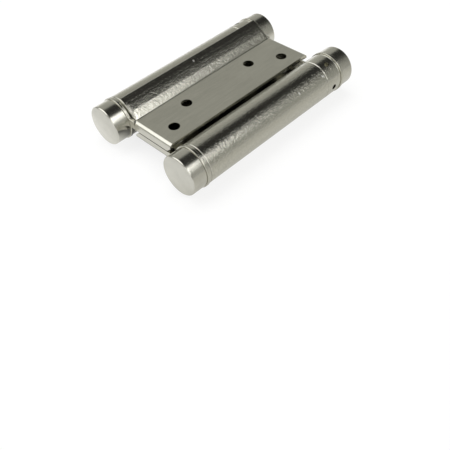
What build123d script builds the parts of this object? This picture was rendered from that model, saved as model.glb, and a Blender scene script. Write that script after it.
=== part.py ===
from build123d import *
import math
import os

# A double action spring hinge of the 125 mm size, folded flat, in millimetres.
# X runs across the two barrels, Y along them, Z is up and the centre web lies on Z = 0.
# The upper leaf turns on the left barrel and the lower leaf on the right one. Half a turn
# about Y carries one half of the hinge onto the other, so each mirrored piece is made by a
# function that takes `way`: 1 for the upper leaf and left barrel, -1 for the lower and right.

# Leaf sheet
leaf_length = 125.0
leaf_reach = 50.0
leaf_face = 6.25
leaf_sheet = 2.0
lip_gap = 0.5
lip_end_angle = 78.0
lip_flank_angle = 52.0
lip_bend_inside = 0.8
lip_edge_round = 0.6
lip_end_gap = 0.2
lip_end_round = 0.55

# Leaf end flanges and ears
ear_d = 27.4
flange_bend_inside = 0.7
flange_gap = 0.3
flange_slant = 3.4
flange_slant_height = 2.9
ear_corner = 1.5
ear_edge_round = 0.3
relief_width = 0.6
relief_depth = 0.3

# Screw holes of the leaf, from its end and from its free edge
screw_hole_d = 7.2
screw_land = 0.3
outer_hole_station = 13.6
outer_hole_edge = 11.0
inner_hole_station = 34.2
inner_hole_edge = 22.0

# Centre web and its rolled tubes
axis_spacing = 67.5
barrel_d = 26.5
web_sheet = 2.0
web_root_round = 2.5
tube_edge = 0.25
seam_gap = 0.4

# Spindles, washers and plugs
spindle_d = 10.0
neck_d = 8.0
rivet_d = 10.6
rivet_height = 1.2
front_washer = 1.5
rear_washer = 1.0
washer_step = 0.25
washer_edge = 0.2
plug_length = 7.0
end_play = 0.05
running_gap = 0.05
fixed_gap = 0.02

# Adjusting collars; a phase is the angle of one hole, from +X towards +Z
collar_length = 12.1
collar_spigot = 4.2
collar_edge = 0.4
collar_holes = 5
collar_hole_d = 3.5
collar_hole_depth = 5.0
left_collar_phase = 46.0
right_collar_phase = 66.0

# Torsion springs
wire = 4.0
spring_turns = 16
coil_gap = 0.35
spring_end_gap = 0.2
leg_length = 4.0
leg_width = 3.6
leg_gap = 0.15

# End caps and the hubs inside them
cap_d = 26.0
cap_overhang = 11.0
cap_wall = 1.2
cap_end_wall = 1.2
cap_dome = 0.8
cap_edge_round = 1.0
cap_rim_round = 0.3
hub_length = 6.5
hub_chamfer = 0.5

# Worked out from the sizes above
half_leaf = leaf_length / 2
ear_inside = half_leaf - leaf_sheet
barrel_r = barrel_d / 2
tube_bore_r = barrel_r - web_sheet
barrel_x = axis_spacing / 2
free_edge_x = leaf_reach - barrel_x
leaf_mid = leaf_face - leaf_sheet / 2
leaf_inside = leaf_face - leaf_sheet
lip_r = barrel_r + lip_gap + leaf_sheet / 2
lip_bend_r = lip_bend_inside + leaf_sheet / 2
lip_flank = math.radians(lip_flank_angle)
lip_corner_x = (lip_r - leaf_mid * math.sin(lip_flank)) / math.cos(lip_flank) - barrel_x
lip_bend_x = lip_corner_x + lip_bend_r * math.tan((math.pi / 2 - lip_flank) / 2)
tube_front = -ear_inside + front_washer + 2 * end_play
collar_rear = ear_inside - rear_washer - 2 * end_play
collar_front = collar_rear - collar_length
tube_rear = collar_front - end_play
plug_face = tube_front + plug_length
washer_d = barrel_d - 2 * washer_step
spigot_face = collar_front - collar_spigot
spring_front = plug_face + spring_end_gap + wire / 2
spring_rear = spigot_face - spring_end_gap - wire / 2
coil_r = tube_bore_r - coil_gap - wire / 2
cap_bore_r = cap_d / 2 - cap_wall
neck_r = neck_d / 2
spindle_bore_r = spindle_d / 2 + running_gap


def across(way, y):
    """The plane across both barrels at y, seen so that this half's barrel is on the left."""
    return Plane(origin=(0, y, 0), x_dir=(way, 0, 0), z_dir=(0, -1, 0))


def barrel_face(way, y):
    """The same plane with its origin on this half's barrel axis."""
    return Plane(origin=(-way * barrel_x, y, 0), x_dir=(way, 0, 0), z_dir=(0, -1, 0))


def barrel_length(way):
    """The plane through this half's barrel axis: radius along its x, Y along its y."""
    return Plane(origin=(-way * barrel_x, 0, 0), x_dir=(way, 0, 0), z_dir=(0, 0, way))


def barrel_axis(way):
    return Axis((-way * barrel_x, 0, 0), (0, 1, 0))


def make_web():
    """One sheet on the centre plane, rolled into a tube at each side with a butt seam."""
    with BuildPart() as web:
        with BuildSketch(across(1, tube_rear)) as section:
            Rectangle(axis_spacing, web_sheet)
            with Locations((-barrel_x, 0), (barrel_x, 0)):
                Circle(barrel_r)
            with Locations((-barrel_x, 0), (barrel_x, 0)):
                Circle(tube_bore_r, mode=Mode.SUBTRACT)
            root_x = barrel_x - math.sqrt(barrel_r**2 - (web_sheet / 2) ** 2)
            for way in (1, -1):
                root = Vector(-way * root_x, -way * web_sheet / 2)
                fillet(section.vertices().sort_by_distance(root)[0], radius=web_root_round)
            for way in (1, -1):
                seam_x = -way * (barrel_x - barrel_r + web_sheet / 2)
                seam_z = way * (web_sheet + seam_gap) / 2
                with Locations((seam_x, seam_z)):
                    Rectangle(2 * web_sheet, seam_gap, mode=Mode.SUBTRACT)
        extrude(amount=tube_rear - tube_front)
        for tube_end in (web.edges().group_by(Axis.Y)[0], web.edges().group_by(Axis.Y)[-1]):
            chamfer(tube_end, length=tube_edge)
    return web


def make_leaf(way):
    """A leaf: flat plate, lip round the barrel, two end flanges with ears, four screw holes."""
    lip_half = ear_inside - lip_end_gap
    flange_y = half_leaf - leaf_sheet / 2
    relief_floor = leaf_face - flange_bend_inside - leaf_sheet - relief_depth
    with BuildPart() as leaf:
        for y in (half_leaf, -ear_inside):
            with BuildSketch(across(way, y)) as ear:
                with Locations((-barrel_x, 0)):
                    Circle(ear_d / 2)
                with BuildLine():
                    Polyline(
                        (-barrel_x, flange_gap),
                        (lip_bend_x + relief_width / 2, flange_gap),
                        (lip_bend_x + relief_width / 2, relief_floor),
                        (lip_bend_x - relief_width / 2, relief_floor),
                        (lip_bend_x - relief_width / 2, leaf_face),
                        (-barrel_x, leaf_face),
                        close=True,
                    )
                make_face()
                for z in (flange_gap, leaf_face):
                    corner = Vector(math.sqrt((ear_d / 2) ** 2 - z**2) - barrel_x, z)
                    fillet(ear.vertices().sort_by_distance(corner)[0], radius=ear_corner)
                with Locations((-barrel_x, 0)):
                    Circle(neck_r + fixed_gap, mode=Mode.SUBTRACT)
            extrude(amount=leaf_sheet)
        ear_rims = leaf.edges().filter_by(GeomType.CIRCLE).group_by(SortBy.RADIUS)[-1]
        fillet(ear_rims, radius=ear_edge_round)
        with BuildSketch(across(way, lip_half)) as bent_sheet:
            with BuildLine():
                FilletPolyline(
                    (free_edge_x, leaf_mid),
                    (lip_corner_x, leaf_mid),
                    (lip_r * math.cos(lip_flank) - barrel_x, lip_r * math.sin(lip_flank)),
                    radius=lip_bend_r,
                )
                CenterArc((-barrel_x, 0), lip_r, lip_flank_angle, lip_end_angle - lip_flank_angle)
            trace(line_width=leaf_sheet)
            lip_end = Vector(lip_r, 0).rotate(Axis.Z, lip_end_angle) - Vector(barrel_x, 0)
            fillet(bent_sheet.vertices().sort_by_distance(lip_end)[:2], radius=lip_edge_round)
        lip = extrude(amount=2 * lip_half)
        for lip_end in (lip.edges().group_by(Axis.Y)[0], lip.edges().group_by(Axis.Y)[-1]):
            fillet(lip_end, radius=lip_end_round)
        with BuildSketch(Plane(origin=(way * lip_bend_x, 0, 0), x_dir=(0, 1, 0), z_dir=(way, 0, 0))):
            with BuildLine():
                FilletPolyline(
                    (-flange_y, flange_gap),
                    (-flange_y, leaf_mid),
                    (flange_y, leaf_mid),
                    (flange_y, flange_gap),
                    radius=flange_bend_inside + leaf_sheet / 2,
                )
            trace(line_width=leaf_sheet)
        extrude(amount=free_edge_x - lip_bend_x)
        with BuildSketch(across(way, half_leaf)):
            with BuildLine():
                Polyline(
                    (free_edge_x - flange_slant, flange_gap),
                    (free_edge_x, flange_gap),
                    (free_edge_x, flange_gap + flange_slant_height),
                    close=True,
                )
            make_face()
        extrude(amount=leaf_length, mode=Mode.SUBTRACT)
        inner_face = Plane(
            origin=(0, 0, way * leaf_inside), x_dir=(way, 0, 0), z_dir=(0, 0, -way)
        )
        outer_x = free_edge_x - outer_hole_edge
        outer_y = half_leaf - outer_hole_station
        inner_x = free_edge_x - inner_hole_edge
        inner_y = half_leaf - inner_hole_station
        with Locations(inner_face):
            with Locations(
                (outer_x, -outer_y), (inner_x, -inner_y), (inner_x, inner_y), (outer_x, outer_y)
            ):
                CounterSinkHole(
                    radius=screw_hole_d / 2,
                    counter_sink_radius=screw_hole_d / 2 + leaf_sheet - screw_land,
                    depth=leaf_sheet,
                    counter_sink_angle=90,
                )
    return leaf


def make_spindle(way):
    """A shaft between the ears, with a riveted neck at each end that carries ear and hub."""
    neck_end = half_leaf + hub_length
    with BuildPart() as spindle:
        with BuildSketch(barrel_length(way)):
            with BuildLine():
                Polyline(
                    (0, -neck_end - rivet_height),
                    (rivet_d / 2 - rivet_height / 2, -neck_end - rivet_height),
                    (rivet_d / 2, -neck_end - rivet_height / 2),
                    (rivet_d / 2, -neck_end),
                    (neck_r, -neck_end),
                    (neck_r, -ear_inside),
                    (spindle_d / 2, -ear_inside),
                    (spindle_d / 2, ear_inside),
                    (neck_r, ear_inside),
                    (neck_r, neck_end),
                    (rivet_d / 2, neck_end),
                    (rivet_d / 2, neck_end + rivet_height / 2),
                    (rivet_d / 2 - rivet_height / 2, neck_end + rivet_height),
                    (0, neck_end + rivet_height),
                    close=True,
                )
            make_face()
        revolve(axis=barrel_axis(way))
    return spindle


def make_plug(way):
    """A ring pressed into the tube's front end, bored for the spindle, with the spring's socket."""
    with BuildPart() as plug:
        with BuildSketch(barrel_face(way, plug_face)):
            Circle(tube_bore_r - fixed_gap)
            Circle(spindle_bore_r, mode=Mode.SUBTRACT)
        extrude(amount=plug_length)
        with BuildSketch(barrel_face(way, plug_face)):
            with Locations((0, way * coil_r)):
                Rectangle(leg_width + 2 * leg_gap, leg_width + 2 * leg_gap)
        extrude(amount=leg_length + leg_gap, mode=Mode.SUBTRACT)
    return plug


def make_spring(way):
    """A torsion spring of square wire; at +Z each end turns into a straight leg along Y."""
    height = spring_rear - spring_front
    axis_x = -way * barrel_x
    with BuildPart() as spring:
        with BuildLine() as path:
            Helix(
                pitch=height / spring_turns,
                height=height,
                radius=coil_r,
                center=(axis_x, spring_front, 0),
                direction=(0, 1, 0),
            )
        start = path.line @ 0
        radial = (start - Vector(axis_x, spring_front, 0)).normalized()
        with BuildSketch(Plane(origin=start, x_dir=radial, z_dir=path.line % 0)):
            Rectangle(wire, wire)
        sweep(path=path.line, is_frenet=True)
        for y, length in (
            (spring_front, spring_front - plug_face + leg_length),
            (spigot_face + leg_length, spigot_face + leg_length - spring_rear),
        ):
            with BuildSketch(barrel_face(way, y)):
                with Locations((0, way * coil_r)):
                    Rectangle(leg_width, leg_width)
            extrude(amount=length)
    return spring


def make_collar(way, phase):
    """The adjusting collar: a spigot in the tube, radial holes for the bar, the spring's socket."""
    hole_floor = barrel_r - collar_hole_depth
    hole_y = collar_front + collar_length / 2
    with BuildPart() as collar:
        with BuildSketch(barrel_face(way, collar_rear)):
            Circle(barrel_r)
        extrude(amount=collar_length)
        chamfer(collar.edges().filter_by(GeomType.CIRCLE), length=collar_edge)
        with BuildSketch(barrel_face(way, collar_front)):
            Circle(tube_bore_r - running_gap)
        extrude(amount=collar_spigot)
        with BuildSketch(barrel_face(way, collar_rear)):
            Circle(spindle_bore_r)
        extrude(amount=collar_length + collar_spigot, mode=Mode.SUBTRACT)
        for index in range(collar_holes):
            angle = math.radians(phase + index * 360 / collar_holes)
            outward = (math.cos(angle), 0, math.sin(angle))
            floor = Plane(origin=(-way * barrel_x, hole_y, 0), x_dir=(0, 1, 0), z_dir=outward)
            with BuildSketch(floor.offset(hole_floor)):
                Circle(collar_hole_d / 2)
            extrude(amount=collar_hole_depth + collar_edge, mode=Mode.SUBTRACT)
        with BuildSketch(barrel_face(way, spigot_face + leg_length + leg_gap)):
            with Locations((0, way * coil_r)):
                Rectangle(leg_width + 2 * leg_gap, leg_width + 2 * leg_gap)
        extrude(amount=leg_length + leg_gap, mode=Mode.SUBTRACT)
    return collar


def make_washer(way, y, thickness):
    """A thrust washer on the spindle with its rear face at y."""
    with BuildPart() as washer:
        with BuildSketch(barrel_face(way, y)):
            Circle(washer_d / 2)
            Circle(spindle_bore_r, mode=Mode.SUBTRACT)
        extrude(amount=thickness)
        chamfer(washer.edges().filter_by(GeomType.CIRCLE), length=washer_edge)
    return washer


def make_hub(way, end):
    """The disc riveted on the spindle outside the ear, which the cap is pressed over."""
    face = half_leaf * end + (hub_length if end > 0 else 0)
    with BuildPart() as hub:
        with BuildSketch(barrel_face(way, face)):
            Circle(cap_bore_r - fixed_gap)
            Circle(neck_r + fixed_gap, mode=Mode.SUBTRACT)
        extrude(amount=hub_length)
        rims = hub.edges().filter_by(GeomType.CIRCLE).filter_by(lambda e: e.radius > neck_d)
        chamfer(rims.sort_by(Axis.Y)[-1 if end > 0 else 0], length=hub_chamfer)
    return hub


def make_cap(way, end):
    """A drawn cup with a slightly domed end and a rounded edge."""
    rim = half_leaf * end
    top = (half_leaf + cap_overhang) * end
    shoulder = top - cap_dome * end
    floor = top - (cap_dome + cap_end_wall) * end
    dome_r = ((cap_d / 2) ** 2 + cap_dome**2) / (2 * cap_dome)
    middle = top - (dome_r - math.sqrt(dome_r**2 - (cap_d / 4) ** 2)) * end
    with BuildPart() as cap:
        with BuildSketch(barrel_length(way)) as profile:
            with BuildLine():
                Polyline(
                    (0, floor), (cap_bore_r, floor), (cap_bore_r, rim), (cap_d / 2, rim), (cap_d / 2, shoulder)
                )
                ThreePointArc((cap_d / 2, shoulder), (cap_d / 4, middle), (0, top))
                Line((0, top), (0, floor))
            make_face()
            edge = Vector(cap_d / 2, shoulder)
            fillet(profile.vertices().sort_by_distance(edge)[0], radius=cap_edge_round)
            rim_edge = Vector(cap_d / 2, rim)
            fillet(profile.vertices().sort_by_distance(rim_edge)[0], radius=cap_rim_round)
        revolve(axis=barrel_axis(way))
    return cap


pieces = {"centre_web": make_web()}
for way, leaf_name, side, phase in (
    (1, "upper", "left", left_collar_phase),
    (-1, "lower", "right", right_collar_phase),
):
    pieces[f"{leaf_name}_leaf"] = make_leaf(way)
    pieces[f"{side}_spindle"] = make_spindle(way)
    pieces[f"{side}_anchor_plug"] = make_plug(way)
    pieces[f"{side}_torsion_spring"] = make_spring(way)
    pieces[f"{side}_adjusting_collar"] = make_collar(way, phase)
    pieces[f"{side}_front_washer"] = make_washer(way, tube_front - end_play, front_washer)
    pieces[f"{side}_rear_washer"] = make_washer(way, ear_inside - end_play, rear_washer)
    for end, place in ((-1, "front"), (1, "rear")):
        pieces[f"{side}_{place}_hub"] = make_hub(way, end)
        pieces[f"{side}_{place}_cap"] = make_cap(way, end)

for name, piece in pieces.items():
    piece.part.label = name
    export_step(piece.part, f"parts/{name}.step")
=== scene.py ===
import math

import bmesh
import bpy
import numpy as np
from mathutils import Matrix, Vector


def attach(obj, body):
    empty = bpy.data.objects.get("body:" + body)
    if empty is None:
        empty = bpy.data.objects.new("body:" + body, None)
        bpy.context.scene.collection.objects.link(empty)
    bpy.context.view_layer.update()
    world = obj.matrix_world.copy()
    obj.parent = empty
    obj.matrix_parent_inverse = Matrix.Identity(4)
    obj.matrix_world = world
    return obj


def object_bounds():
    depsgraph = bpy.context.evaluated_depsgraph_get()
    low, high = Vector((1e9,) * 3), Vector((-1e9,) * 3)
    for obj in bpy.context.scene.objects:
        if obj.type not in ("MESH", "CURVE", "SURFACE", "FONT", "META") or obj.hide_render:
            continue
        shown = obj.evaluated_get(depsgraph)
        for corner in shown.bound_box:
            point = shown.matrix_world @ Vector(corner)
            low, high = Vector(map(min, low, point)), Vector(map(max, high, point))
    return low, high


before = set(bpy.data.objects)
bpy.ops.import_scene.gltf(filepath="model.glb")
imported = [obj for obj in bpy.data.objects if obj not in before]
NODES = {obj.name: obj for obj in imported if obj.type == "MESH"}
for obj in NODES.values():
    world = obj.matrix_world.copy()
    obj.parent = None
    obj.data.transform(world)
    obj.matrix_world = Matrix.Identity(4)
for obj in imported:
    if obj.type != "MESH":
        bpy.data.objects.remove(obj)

bl_info = {
    "name": "Double action hinge",
    "version": (1, 0, 0),
    "blender": (4, 5, 0),
    "location": "View3D > Sidebar > Hinge",
    "description": "Dresses a folded double action spring hinge in plated sheet steel",
    "category": "Object",
}

CAD_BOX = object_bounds()
MM = 0.001
LEAVES = {"upper": 1, "lower": -1}  # the lower leaf is the upper one turned half a turn about Y
BARREL_AXIS = 0.03375  # distance of each barrel's axis from the middle, in metres

# A Mix node's input sockets and output for its two kinds
VECTORS, MIXED_VECTOR = (4, 5), 1
COLOURS, MIXED_COLOUR = (6, 7), 2


# Shader kit


class Signal:
    """A number running through a material; Python's operators add the Math nodes."""

    def __init__(self, tree, socket):
        self.tree = tree
        self.socket = socket

    def _math(self, operation, first, second=None, clamp=False):
        node = self.tree.nodes.new("ShaderNodeMath")
        node.operation = operation
        node.use_clamp = clamp
        for slot, value in zip(node.inputs, (first, second)):
            if isinstance(value, Signal):
                self.tree.links.new(value.socket, slot)
            elif value is not None:
                slot.default_value = value
        return Signal(self.tree, node.outputs[0])

    def __add__(self, other):
        return self._math("ADD", self, other)

    def __radd__(self, other):
        return self._math("ADD", other, self)

    def __sub__(self, other):
        return self._math("SUBTRACT", self, other)

    def __rsub__(self, other):
        return self._math("SUBTRACT", other, self)

    def __mul__(self, other):
        return self._math("MULTIPLY", self, other)

    def __rmul__(self, other):
        return self._math("MULTIPLY", other, self)

    def __truediv__(self, other):
        return self._math("DIVIDE", self, other)

    def __rtruediv__(self, other):
        return self._math("DIVIDE", other, self)

    def __abs__(self):
        return self._math("ABSOLUTE", self)

    def half_turns(self, along):
        """Half turns from the along axis to the direction (along, self)."""
        return self._math("ARCTAN2", self, along) / math.pi

    def clamp(self):
        """The signal kept between 0 and 1."""
        return self._math("ADD", self, 0.0, clamp=True)

    def smooth(self, low, high):
        """0 below low and 1 above high, with a smooth rise between them."""
        node = self.tree.nodes.new("ShaderNodeMapRange")
        node.interpolation_type = "SMOOTHSTEP"
        self.tree.links.new(self.socket, node.inputs["Value"])
        node.inputs["From Min"].default_value = low
        node.inputs["From Max"].default_value = high
        return Signal(self.tree, node.outputs["Result"])


class Recipe:
    """A shader tree with one method that adds any node."""

    def __init__(self, owner):
        owner.use_nodes = True
        self.owner = owner
        self.tree = owner.node_tree
        self.tree.nodes.clear()

    def node(self, kind, settings=None, sockets=None, output=0):
        """Adds a node, sets it up, then sets or links its sockets; returns one output."""
        node = self.tree.nodes.new(kind)
        for name, value in (settings or {}).items():
            if name == "stops":
                ramp = node.color_ramp.elements
                while len(ramp) < len(value):
                    ramp.new(0.5)
                for stop, (place, colour) in zip(ramp, value):
                    stop.position = place
                    stop.color = colour
            else:
                setattr(node, name, value)
        for name, value in (sockets or {}).items():
            slot = node.inputs[name]
            if isinstance(value, Signal):
                self.tree.links.new(value.socket, slot)
            else:
                slot.default_value = value
        return Signal(self.tree, node.outputs[output]) if len(node.outputs) else None

    def axes(self, space="Object"):
        """The X, Y and Z of the point on the object in metres, or of the direction in a world."""
        point = self.node("ShaderNodeTexCoord", output=space)
        sockets = {0: point}
        return [self.node("ShaderNodeSeparateXYZ", sockets=sockets, output=axis) for axis in "XYZ"]

    def place(self, scale):
        """The point on the object in metres, stretched by a scale along each axis."""
        point = self.node("ShaderNodeTexCoord", output="Object")
        return self.node("ShaderNodeMapping", sockets={"Vector": point, "Scale": scale})

    def noise(self, scale, detail=2.0, rough=0.5):
        """Cloudy noise whose clouds are 1/scale metres long along each axis."""
        sockets = {"Vector": self.place(scale), "Scale": 1.0, "Detail": detail, "Roughness": rough}
        return self.node("ShaderNodeTexNoise", sockets=sockets, output="Fac")

    def tint(self, factor, first, second):
        """A colour between two, by a signal from 0 to 1."""
        sockets = {"Factor": factor, COLOURS[0]: first, COLOURS[1]: second}
        return self.node("ShaderNodeMix", {"data_type": "RGBA"}, sockets, MIXED_COLOUR)

    def burr(self, mark):
        """1 on a small raised burr at a point in metres, 0 past it; longer across than along Y."""
        narrow = (1.0, 1.7, 1.0)
        inner, outer = 0.4 * MM, 0.9 * MM
        here = self.place(narrow)
        there = tuple(value * factor for value, factor in zip(mark, narrow))
        settings = {"operation": "DISTANCE"}
        away = self.node("ShaderNodeVectorMath", settings, {0: here, 1: there}, "Value")
        return 1.0 - away.smooth(inner, outer)

    def facing(self, direction, axis, outer, inner):
        """1 near an axis and 0 away from it, between two cosines of the angle to it."""
        settings = {"operation": "DOT_PRODUCT"}
        cosine = self.node("ShaderNodeVectorMath", settings, {0: direction, 1: axis}, "Value")
        return cosine.smooth(outer, inner)

    def bump(self, height, depth, base=None):
        """A normal from a height signal, where 1 stands depth metres proud, on a base normal."""
        sockets = {"Height": height, "Strength": 1.0, "Distance": depth}
        if base is not None:
            sockets["Normal"] = base
        return self.node("ShaderNodeBump", sockets=sockets, output="Normal")

    def metal(self, colour, roughness, normal):
        """Ends the recipe in a metal."""
        sockets = {"Base Color": colour, "Roughness": roughness, "Normal": normal, "Metallic": 1.0}
        shader = self.node("ShaderNodeBsdfPrincipled", sockets=sockets, output="BSDF")
        self.node("ShaderNodeOutputMaterial", sockets={"Surface": shader})
        return self.owner

    def paint(self, colour):
        """A matt surface."""
        return self.node("ShaderNodeBsdfDiffuse", sockets={"Color": colour})

    def glow(self, colour, strength=1.0):
        """A surface that shows its own colour, 1 for white."""
        return self.node("ShaderNodeEmission", sockets={"Color": colour, "Strength": strength})

    def sky(self, colour, strength=1.0):
        """A part of the room round the object, 1 for white."""
        return self.node("ShaderNodeBackground", sockets={"Color": colour, "Strength": strength})

    def blend(self, share, first, second):
        """The first shader where the share is 0, the second where it is 1."""
        return self.node("ShaderNodeMixShader", sockets={0: share, 1: first, 2: second})

    def ramp(self, factor, levels, blue):
        """A grey read from (place, level) pairs, its blue a little lower."""
        stops = [(place, opaque(level, level, level * blue)) for place, level in levels]
        return self.node("ShaderNodeValToRGB", {"stops": stops}, {"Fac": factor}, "Color")


def opaque(red, green, blue):
    """A colour with full alpha, as the shader sockets take it."""
    return (red, green, blue, 1.0)


def shade(colour, factor):
    """A colour made darker or lighter by a factor."""
    return opaque(*(channel * factor for channel in colour))


# Finishes. Lengths are in metres, and heights of texture in millimetres.

FLAT_SHEET = (0.0162, 0.0177)  # |x| where the flat sheet passes into its rolled part
CREST_RISE = (0.0075, 0.0090)  # |z| over which the nicks on the barrels' shoulders begin
CREST_FALL = (0.0112, 0.0125)  # |z| over which they end
FLAT_PEEL = 0.1  # share of the peel that the flat sheet has
# Painted shade: the web darkens in a thin line at the tube's end, for the gap against the collar.
GAP_SHADE_WIDTH = 0.2 * MM  # width of the dark line at the tube's end
GAP_SHADE_LEVEL = 0.3
TUBE_END = 0.0470  # y of the tube's end, against the collar
TUBE_BURRS = (
    (0.04291, 0.04469, 0.00957),
    (0.04331, 0.04561, 0.00916),
    (0.04327, 0.02155, 0.00921),
)
LIP_BURRS = ((-0.02685, -0.0011, 0.01416),)
# The burrs are raised by the bump and are rougher; their near-white colour is a painted glint.
BURR_PAINTED_GLINT = opaque(0.95, 0.95, 0.92)
BURR_ROUGHNESS = 0.35  # added to the sheet's
BURR_HEIGHT = 0.12
COLLAR_PEEL = 0.5  # share of the sheet's peel that the collars have
SATIN_ROUGHNESS = 0.13
POLE_SQUARED = (1.5e-6, 4.0e-6)  # squared distance from a cap's axis where its own normal returns


def plated_sheet(name, colour, peel, grain, gap_shade_y=None, marks=()):
    """Plated sheet: even where it is flat, with an orange peel where it was rolled or bent.

    Past a given y it turns dark: painted shade for the narrow gap at the tube's end.
    Its marks are small raised burrs, each with a painted glint.
    """
    recipe = Recipe(bpy.data.materials.new(name))
    clouds = recipe.noise((90, 45, 90), detail=3.0)
    flecks = recipe.noise((2600, 1700, 2600), rough=0.6)
    streaks = recipe.noise((900, 60, 900), rough=0.55)
    pits = recipe.noise((1500, 1300, 1500), rough=0.6)
    hills = recipe.noise((620, 520, 620), detail=3.0, rough=0.65)
    nicks = recipe.noise((1350, 1150, 1350), detail=1.0).smooth(0.58, 0.72)
    x, y, z = recipe.axes()
    rolled = abs(x).smooth(*FLAT_SHEET)
    tone = clouds.smooth(0.3, 0.7) * 0.6 + streaks.smooth(0.35, 0.7) * 0.4
    even = recipe.tint(tone, shade(colour, 0.93), shade(colour, 1.05))
    speckled = recipe.tint(pits.smooth(0.32, 0.62), shade(colour, 0.90), shade(colour, 1.05))
    base = recipe.tint(rolled, even, speckled)
    # Painted shade in the gap at the tube's end: dark past this y.
    if gap_shade_y:
        dark = y.smooth(gap_shade_y - GAP_SHADE_WIDTH, gap_shade_y)
        base = recipe.tint(dark, base, shade(colour, GAP_SHADE_LEVEL))
    rough = 0.11 + clouds * 0.06 + flecks * 0.08
    crest = abs(z).smooth(*CREST_RISE) * (1.0 - abs(z).smooth(*CREST_FALL))
    uneven = hills * peel + pits * (0.3 * peel) + nicks * (crest * 0.35 + 0.1) * peel
    height = uneven * (FLAT_PEEL + rolled * (1.0 - FLAT_PEEL))
    height = height + flecks * grain + streaks * (0.3 * grain)
    # Each burr: a real raised bump with more roughness, and a near-white colour that paints its
    # glint.
    for mark in marks:
        burr = recipe.burr(mark)
        base = recipe.tint(burr, base, BURR_PAINTED_GLINT)
        rough = rough + burr * BURR_ROUGHNESS
        height = height + burr * BURR_HEIGHT
    return recipe.metal(base, rough.clamp(), recipe.bump(height, MM))


def satin_steel(name, colour, grain, roughness):
    """Satin plated steel: even grain, with faint turning lines round the axis.

    Round the middle of a cap's domed end the flat normal of each face takes the smooth one's
    place, because the long thin faces that meet there spoil the smooth one.
    """
    recipe = Recipe(bpy.data.materials.new(name))
    clouds = recipe.noise((120, 120, 120))
    flecks = recipe.noise((2400, 2400, 2400), rough=0.6)
    turning = recipe.noise((150, 5200, 150), detail=1.0)
    base = recipe.tint(clouds.smooth(0.3, 0.7), shade(colour, 0.95), shade(colour, 1.04))
    rough = roughness + clouds * 0.06 + flecks * 0.06
    height = flecks * grain + turning * (0.3 * grain)
    x, _, z = recipe.axes()
    across = abs(x) - BARREL_AXIS
    pole = 1.0 - (across * across + z * z).smooth(*POLE_SQUARED)
    smooth = recipe.node("ShaderNodeNewGeometry", output="Normal")
    flat = recipe.node("ShaderNodeNewGeometry", output="True Normal")
    sockets = {"Factor": pole, VECTORS[0]: smooth, VECTORS[1]: flat}
    normal = recipe.node("ShaderNodeMix", {"data_type": "VECTOR"}, sockets, MIXED_VECTOR)
    return recipe.metal(base, rough.clamp(), recipe.bump(height, MM, normal))


def drawn_steel(name, colour, roughness):
    """Bright drawn steel for pieces inside: fine lines and a slight oil film."""
    line_height = 0.003 * MM
    recipe = Recipe(bpy.data.materials.new(name))
    clouds = recipe.noise((160, 160, 160))
    lines = recipe.noise((3000, 400, 3000))
    base = recipe.tint(clouds.smooth(0.35, 0.65), shade(colour, 0.85), shade(colour, 1.0))
    rough = roughness + clouds * 0.1
    return recipe.metal(base, rough.clamp(), recipe.bump(lines, line_height))


# Settings


class HingeFinish(bpy.types.PropertyGroup):
    """Colours and textures of the plating and the steel."""

    sheet_colour: bpy.props.FloatVectorProperty(
        name="Sheet", description="Plating of the web and the leaves", size=3,
        subtype="COLOR", min=0, max=1, default=(0.605, 0.595, 0.53),
    )
    cap_colour: bpy.props.FloatVectorProperty(
        name="Caps", description="Satin plating of the end caps", size=3,
        subtype="COLOR", min=0, max=1, default=(0.63, 0.62, 0.56),
    )
    steel_colour: bpy.props.FloatVectorProperty(
        name="Inner steel", description="Bright steel of spindles, hubs and plugs", size=3,
        subtype="COLOR", min=0, max=1, default=(0.56, 0.55, 0.53),
    )
    spring_colour: bpy.props.FloatVectorProperty(
        name="Springs", description="Oiled spring wire", size=3,
        subtype="COLOR", min=0, max=1, default=(0.16, 0.155, 0.15),
    )
    peel: bpy.props.FloatProperty(
        name="Orange peel", description="Height of the broad unevenness, in millimetres",
        default=0.17, min=0, max=0.5,
    )
    grain: bpy.props.FloatProperty(
        name="Grain", description="Height of the fine grain, in millimetres",
        default=0.025, min=0, max=0.1,
    )


class HingeLip(bpy.types.PropertyGroup):
    """Shape of the crown on each leaf's lip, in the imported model's own sizes."""

    axis: bpy.props.FloatProperty(
        name="Barrel axis", description="Distance of each barrel's axis from the middle",
        subtype="DISTANCE", unit="LENGTH", default=BARREL_AXIS,
    )
    radius: bpy.props.FloatProperty(
        name="Lip radius", description="Outer radius of the lip round its barrel",
        subtype="DISTANCE", unit="LENGTH", default=0.01575,
    )
    face: bpy.props.FloatProperty(
        name="Leaf face", description="Height of the leaf's outer face over the middle plane",
        subtype="DISTANCE", unit="LENGTH", default=0.00625,
    )
    flank: bpy.props.FloatProperty(
        name="Flank", description="Angle of the flank's normal from the leaf's plane",
        subtype="ANGLE", default=math.radians(52.0),
    )
    half_length: bpy.props.FloatProperty(
        name="Half length", description="Half of the lip's length between its rounded ends",
        subtype="DISTANCE", unit="LENGTH", default=0.0597,
    )
    slope: bpy.props.FloatProperty(
        name="Slope", description="Rise of the crown for each unit along the flank",
        default=0.1, min=0, max=0.2,
    )


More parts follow.
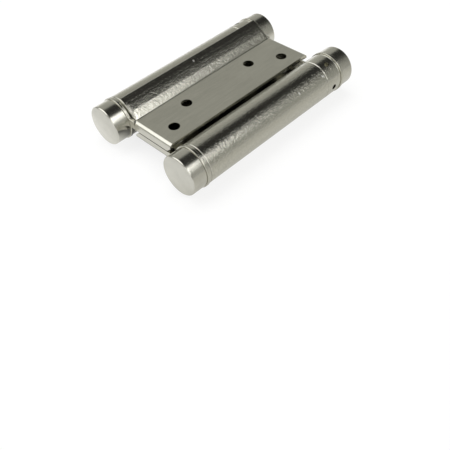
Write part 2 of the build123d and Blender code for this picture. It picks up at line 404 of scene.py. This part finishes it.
class HingeStage(bpy.types.PropertyGroup):
    """The camera's place and lens."""

    azimuth: bpy.props.FloatProperty(
        name="Azimuth", description="Camera's angle round the hinge from the front",
        subtype="ANGLE", default=math.radians(47.01),
    )
    elevation: bpy.props.FloatProperty(
        name="Elevation", description="Camera's angle above the table",
        subtype="ANGLE", default=math.radians(48.387),
    )
    roll: bpy.props.FloatProperty(
        name="Roll", description="Camera's turn about its own axis",
        subtype="ANGLE", default=math.radians(-3.789),
    )
    distance: bpy.props.FloatProperty(
        name="Distance", description="Camera's distance along its axis",
        subtype="DISTANCE", unit="LENGTH", default=0.38014,
    )
    across: bpy.props.FloatProperty(
        name="Across", description="Camera's offset to its right",
        subtype="DISTANCE", unit="LENGTH", default=-0.0002125,
    )
    above: bpy.props.FloatProperty(
        name="Above", description="Camera's offset upwards in its own frame",
        subtype="DISTANCE", unit="LENGTH", default=-0.08461,
    )
    lens: bpy.props.FloatProperty(
        name="Lens", description="Focal length on a 36 mm sensor, in millimetres",
        default=47.0172, min=10, max=200,
    )


# The crowns on the leaves' lips

CROWN_REACH = 12.2 * MM  # length of the crown's path, up the flank and on round the lip
CROWN_FOOT = 12.0 * MM  # where along it the falling side meets the path again
CROWN_RIDGE = 0.1 * MM  # how much the ridge between its two sides is rounded
CROWN_FADE = 2.0 * MM  # length over which it runs out at each end of the lip
CROWN_SINK = 0.035 * MM  # depth of its edges under the sheet's face
CROWN_DEPTH = 0.4 * MM  # depth of its inner side in the sheet
CROWN_COLUMNS = 62
END_SHARE = 0.96  # share of the half length where the closer rows at each end begin
MIDDLE_ROWS, END_ROWS = 97, 9


def crown_section(lip):
    """The crown's path in the XZ plane, its normals and its heights over the path, for way = 1.

    The path runs straight up the flank, whose normal stands at the flank angle, until it meets
    the lip's circle, and then follows the circle. The height is slope * s at first and
    slope * (foot - s) later, where s is the length along the path, and the two are joined by
    the hyperbola (a + b - sqrt((a - b)^2 + ridge^2)) / 2.
    """
    cosine, sine = math.cos(lip.flank), math.sin(lip.flank)
    corner = (lip.radius - lip.face * sine) / cosine
    straight = (corner - lip.radius * cosine) / sine
    s = np.linspace(0.0, CROWN_REACH, CROWN_COLUMNS)
    angle = lip.flank + np.maximum(s - straight, 0) / lip.radius
    normal = np.stack([np.cos(angle), np.sin(angle)], axis=-1)
    path_x = np.where(s < straight, corner - s * sine, lip.radius * normal[:, 0]) - lip.axis
    path_z = np.where(s < straight, lip.face + s * cosine, lip.radius * normal[:, 1])
    rising, falling = lip.slope * s, lip.slope * (CROWN_FOOT - s)
    height = (rising + falling - np.sqrt((rising - falling) ** 2 + CROWN_RIDGE**2)) / 2
    return np.stack([path_x, path_z], axis=-1), normal, height


def lip_crown(lip, way):
    """A closed shell on the lip's flank: its section in the XZ plane, carried along Y.

    The outer side stands off the section's path by the crown's height, which fades out at both
    ends of the lip by the cubic 3 t^2 - 2 t^3, less a small sink, so that its edges run into
    the sheet. The inner side lies in the sheet. Half a turn about Y (way = -1) gives the lower
    leaf's.
    """
    path, normal, height = crown_section(lip)
    y = np.concatenate([
        np.linspace(-1, -END_SHARE, END_ROWS)[:-1],
        np.linspace(-END_SHARE, END_SHARE, MIDDLE_ROWS),
        np.linspace(END_SHARE, 1, END_ROWS)[1:],
    ]) * lip.half_length
    fade = np.clip((lip.half_length - np.abs(y)) / CROWN_FADE, 0, 1)
    fade = fade * fade * (3 - 2 * fade)
    lift = fade[:, None] * height[None, :] - CROWN_SINK
    outer = path + normal * lift[..., None]
    inner = np.broadcast_to((path - normal * CROWN_DEPTH)[::-1], outer.shape)
    ring = np.concatenate([outer, inner], axis=1) * way
    stations = np.broadcast_to(y[:, None], ring.shape[:2])
    points = np.stack([ring[..., 0], stations, ring[..., 1]], axis=-1).reshape(-1, 3)
    around, rows = ring.shape[1], len(y)
    row, place = np.meshgrid(np.arange(rows - 1), np.arange(around), indexing="ij")
    here, there = row * around, (row + 1) * around
    after = (place + 1) % around
    sides = np.stack([here + place, here + after, there + after, there + place], axis=-1)
    step = np.arange(around // 2 - 1)
    near_end = np.stack([step, around - 1 - step, around - 2 - step, step + 1], axis=-1)
    far_end = near_end[:, ::-1] + (rows - 1) * around
    return points, np.concatenate([sides.reshape(-1, 4), near_end, far_end])


def closed_mesh(name, points, faces, material):
    """A smooth mesh object at the origin with its faces turned outwards."""
    mesh = bpy.data.meshes.new(name)
    mesh.from_pydata(points.tolist(), [], faces.tolist())
    shell = bmesh.new()
    shell.from_mesh(mesh)
    bmesh.ops.recalc_face_normals(shell, faces=shell.faces)
    shell.to_mesh(mesh)
    shell.free()
    mesh.polygons.foreach_set("use_smooth", np.ones(len(mesh.polygons), dtype=bool))
    mesh.materials.append(material)
    piece = bpy.data.objects.new(name, mesh)
    bpy.context.scene.collection.objects.link(piece)
    return piece


class HINGE_OT_crown_lips(bpy.types.Operator):
    """Gives the flank of each leaf's lip its slight crown"""

    bl_idname = "hinge.crown_lips"
    bl_label = "Crown the lips"

    def execute(self, context):
        material = bpy.data.materials["plated_leaf"]
        for leaf, way in LEAVES.items():
            points, faces = lip_crown(context.scene.hinge_lip, way)
            piece = closed_mesh(f"{leaf}_lip_crown", points, faces, material)
            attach(piece, f"{leaf}_leaf")
        return {"FINISHED"}


# The finishes of the CAD nodes


class HINGE_OT_finish_nodes(bpy.types.Operator):
    """Gives the CAD nodes that stay their plated, satin or bright finishes"""

    bl_idname = "hinge.finish_nodes"
    bl_label = "Finish the pieces"

    def execute(self, context):
        finish = context.scene.hinge_finish
        plating = (finish.sheet_colour, finish.peel, finish.grain)
        satin = (finish.cap_colour, finish.grain, SATIN_ROUGHNESS)
        by_last_word = {
            "web": plated_sheet("plated_web", *plating, gap_shade_y=TUBE_END, marks=TUBE_BURRS),
            "leaf": plated_sheet("plated_leaf", *plating, marks=LIP_BURRS),
            "collar": plated_sheet(
                "collar_steel", finish.sheet_colour, finish.peel * COLLAR_PEEL, finish.grain
            ),
            "cap": satin_steel("cap_steel", *satin),
            "washer": satin_steel("washer_steel", *satin),
            "spring": drawn_steel("spring_steel", finish.spring_colour, roughness=0.3),
        }
        bright = drawn_steel("bright_steel", finish.steel_colour, roughness=0.22)
        for name, node in NODES.items():
            if not node.material_slots:
                node.data.materials.append(None)
            for place in node.material_slots:
                place.material = by_last_word.get(name.split("_")[-1], bright)
        return {"FINISHED"}


# The stage. Lengths are in metres, and a strength or a level of 1 shows as white.

FLOOR_HALF = 3.0
# The mirrored card's levels are painted light, and its shade under the hinge is a painted shadow.
CARD_ACROSS = (-0.10, 0.12)  # x over which the mirrored floor passes from bright to dull
CARD_BRIGHT = 1.35
CARD_DULL = opaque(0.45, 0.44, 0.38)
CARD_FRONT = (-0.095, -0.065)  # y over which it passes from its front step to the rest
CARD_STEP = opaque(0.85, 0.85, 0.84)
CARD_REACH = (0.03, 0.16)  # squared distance over which it passes to its far colour
CARD_FAR = opaque(0.42, 0.42, 0.40)
SHADE_ACROSS = (0.020, 0.040)  # |x| and |y| over which the shade under the hinge ends
SHADE_ALONG = (0.055, 0.072)
SHADE_COLOUR = opaque(0.1, 0.1, 0.1)
CARD_SHARE = 0.7  # share of the card in what the metal mirrors; the rest is the lit floor
GLOW_REACH = (0.03, 0.30)  # squared distance over which the seen floor turns to plain white
GLOW_NEAR, GLOW_MORE = 0.8, 0.2
WHITE = opaque(1.0, 1.0, 1.0)
PAPER = opaque(0.8, 0.8, 0.8)

ROOM_LEVELS = (  # degrees round Y, from +X over the top, and the room's level behind the hinge
    (0, 0.42), (10, 0.42), (31, 0.33), (43, 0.265), (51, 0.20), (59, 0.135), (67, 0.085),
    (75, 0.05), (85, 0.03), (105, 0.03), (118, 0.05), (126, 0.40), (153, 0.45), (173, 0.55),
    (180, 1.0),
)
ROOM_BLUE = 0.92
WALL_LEVELS = ((0.0, 0.48), (0.35, 0.36), (0.70, 0.20), (1.0, 0.10))  # by height, in front
WALL_BLUE = 0.94
WALL_DEPTH = (0.05, 0.28)  # y of a direction over which the front wall passes to the room
DAYLIGHT = opaque(1.0, 1.0, 0.99)
WINDOW_STRENGTH = 2.6
WINDOW_LOW, WINDOW_HIGH = (0.11, 0.19), (0.29, 0.38)  # its two edges, in half turns round Y
WINDOW_SLANT = 0.6  # how its end behind the hinge leans with that angle
WINDOW_END = (0.265, 0.335)
STRIP_END = (-0.40, -0.05)  # y of a direction over which its front end fades
SOFTBOX_STRENGTH = 1.7
SOFTBOXES = (  # axis, and the cosines from it to the outer and inner edge
    ((-0.49, -0.42, 0.765), 0.78, 0.90),
    ((0.37, -0.88, 0.29), 0.90, 0.96),
)
LAMP_SIZE = 0.8
LAMP_WATTS = 5.0
LAMP_PLACE = (-0.25, 0.25, 1.0)
SENSOR_MM = 36.0
CLIP = (0.01, 20.0)


def lay_floor(height):
    """A flat square of floor, which the camera sees as white with the hinge's shadow.

    Metal mirrors it as a glowing card of painted light: bright on the left, dull on the right,
    with a paler step in front, a dull far part, and a painted shadow under the hinge.
    """
    mesh = bpy.data.meshes.new("floor")
    corners = [
        (-FLOOR_HALF, -FLOOR_HALF, height), (FLOOR_HALF, -FLOOR_HALF, height),
        (FLOOR_HALF, FLOOR_HALF, height), (-FLOOR_HALF, FLOOR_HALF, height),
    ]
    mesh.from_pydata(corners, [], [(0, 1, 2, 3)])
    floor = bpy.data.objects.new("floor", mesh)
    bpy.context.scene.collection.objects.link(floor)
    recipe = Recipe(bpy.data.materials.new("studio_floor"))
    x, y, _ = recipe.axes()
    away = x * x + y * y
    # Painted light: glows paint the floor brighter on the left and duller to the right, in front
    # and far off.
    card = recipe.blend(
        x.smooth(*CARD_ACROSS), recipe.glow(WHITE, CARD_BRIGHT), recipe.glow(CARD_DULL)
    )
    card = recipe.blend(y.smooth(*CARD_FRONT), recipe.glow(CARD_STEP), card)
    card = recipe.blend(away.smooth(*CARD_REACH), card, recipe.glow(CARD_FAR))
    # Painted shadow: a dark glow under the hinge.
    under = (1.0 - abs(x).smooth(*SHADE_ACROSS)) * (1.0 - abs(y).smooth(*SHADE_ALONG))
    card = recipe.blend(under, card, recipe.glow(SHADE_COLOUR))
    paper = recipe.paint(PAPER)
    mirrored = recipe.blend(CARD_SHARE, paper, card)
    share = away.smooth(*GLOW_REACH) * GLOW_MORE + GLOW_NEAR
    seen = recipe.blend(share, recipe.paint(WHITE), recipe.glow(WHITE))
    camera = recipe.node("ShaderNodeLightPath", output="Is Camera Ray")
    mirror = recipe.node("ShaderNodeLightPath", output="Is Glossy Ray")
    through = recipe.node("ShaderNodeLightPath", output="Is Transmission Ray")
    other = recipe.blend((mirror + through).clamp(), paper, mirrored)
    surface = recipe.blend(camera, other, seen)
    recipe.node("ShaderNodeOutputMaterial", sockets={"Surface": surface})
    mesh.materials.append(recipe.owner)


def light_room(scene):
    """A room that the metal mirrors, white to the camera, and a soft lamp overhead.

    Behind the hinge the room's level goes by the angle round Y: pale low down on both sides and
    dark overhead. In front it is a wall that darkens with height. A window on the right reaches
    from the one into the other, and two softboxes stand in front.
    """
    world = bpy.data.worlds.new("studio")
    scene.world = world
    recipe = Recipe(world)
    x, y, z = recipe.axes("Generated")
    angle = z.half_turns(x)
    window = recipe.sky(DAYLIGHT, WINDOW_STRENGTH)
    band = angle.smooth(*WINDOW_LOW) * (1.0 - angle.smooth(*WINDOW_HIGH))
    levels = [(degrees / 180, level) for degrees, level in ROOM_LEVELS]
    behind = recipe.sky(recipe.ramp(angle, levels, ROOM_BLUE))
    window_end = 1.0 - (y - angle * WINDOW_SLANT).smooth(*WINDOW_END)
    behind = recipe.blend(band * window_end, behind, window)
    front = recipe.sky(recipe.ramp(z, WALL_LEVELS, WALL_BLUE))
    front = recipe.blend(band * y.smooth(*STRIP_END), front, window)
    room = recipe.blend(y.smooth(*WALL_DEPTH), front, behind)
    direction = recipe.node("ShaderNodeTexCoord", output="Generated")
    boxes = [recipe.facing(direction, *softbox) for softbox in SOFTBOXES]
    softbox = recipe.sky(DAYLIGHT, SOFTBOX_STRENGTH)
    room = recipe.blend(boxes[0] + boxes[1], room, softbox)
    camera = recipe.node("ShaderNodeLightPath", output="Is Camera Ray")
    surface = recipe.blend(camera, room, recipe.sky(WHITE))
    recipe.node("ShaderNodeOutputWorld", sockets={"Surface": surface})
    lamp = bpy.data.lights.new("softbox", "AREA")
    lamp.shape = "SQUARE"
    lamp.size = LAMP_SIZE
    lamp.energy = LAMP_WATTS
    box = bpy.data.objects.new("softbox", lamp)
    spot = Vector(LAMP_PLACE)
    turn = spot.to_track_quat("Z", "Y").to_matrix().to_4x4()
    box.matrix_world = Matrix.Translation(spot) @ turn
    box.visible_glossy = False
    box.visible_camera = False
    scene.collection.objects.link(box)


def set_camera(scene, stage):
    """Stands the camera back along its own axis, turned by its roll and shifted in its plane."""
    azimuth, elevation = stage.azimuth, stage.elevation
    back = Vector((
        math.sin(azimuth) * math.cos(elevation),
        -math.cos(azimuth) * math.cos(elevation),
        math.sin(elevation),
    ))
    level = Vector((0, 0, 1)).cross(back).normalized()
    upright = back.cross(level)
    right = math.cos(stage.roll) * level + math.sin(stage.roll) * upright
    up = math.cos(stage.roll) * upright - math.sin(stage.roll) * level
    place = stage.across * right + stage.above * up + stage.distance * back
    lens = bpy.data.cameras.new("camera")
    lens.lens = stage.lens
    lens.sensor_width = SENSOR_MM
    lens.clip_start, lens.clip_end = CLIP
    camera = bpy.data.objects.new("camera", lens)
    matrix = Matrix((right, up, back)).transposed().to_4x4()
    matrix.translation = place
    camera.matrix_world = matrix
    scene.collection.objects.link(camera)
    scene.camera = camera


class HINGE_OT_stage(bpy.types.Operator):
    """Lays the floor, lights the room and sets the camera"""

    bl_idname = "hinge.stage"
    bl_label = "Set the stage"

    def execute(self, context):
        lay_floor(CAD_BOX[0][2])
        light_room(context.scene)
        set_camera(context.scene, context.scene.hinge_stage)
        context.scene.view_settings.view_transform = "Standard"
        return {"FINISHED"}


# The add-on


class HINGE_PT_panel(bpy.types.Panel):
    """Lists the hinge's settings and steps"""

    bl_label = "Double action hinge"
    bl_idname = "HINGE_PT_panel"
    bl_space_type = "VIEW_3D"
    bl_region_type = "UI"
    bl_category = "Hinge"

    def draw(self, context):
        scene = context.scene
        for group in (scene.hinge_finish, scene.hinge_lip, scene.hinge_stage):
            box = self.layout.box()
            for name in group.bl_rna.properties.keys():
                if name not in ("rna_type", "name"):
                    box.prop(group, name)
        for step in STEPS:
            self.layout.operator(step.bl_idname)


STEPS = (HINGE_OT_finish_nodes, HINGE_OT_crown_lips, HINGE_OT_stage)
CLASSES = (HingeFinish, HingeLip, HingeStage) + STEPS + (HINGE_PT_panel,)


def register():
    for item in CLASSES:
        bpy.utils.register_class(item)
    bpy.types.Scene.hinge_finish = bpy.props.PointerProperty(type=HingeFinish)
    bpy.types.Scene.hinge_lip = bpy.props.PointerProperty(type=HingeLip)
    bpy.types.Scene.hinge_stage = bpy.props.PointerProperty(type=HingeStage)


def unregister():
    del bpy.types.Scene.hinge_stage
    del bpy.types.Scene.hinge_lip
    del bpy.types.Scene.hinge_finish
    for item in reversed(CLASSES):
        bpy.utils.unregister_class(item)


def main():
    register()
    bpy.ops.hinge.finish_nodes()
    bpy.ops.hinge.crown_lips()
    bpy.ops.hinge.stage()


if __name__ == "__main__":
    main()
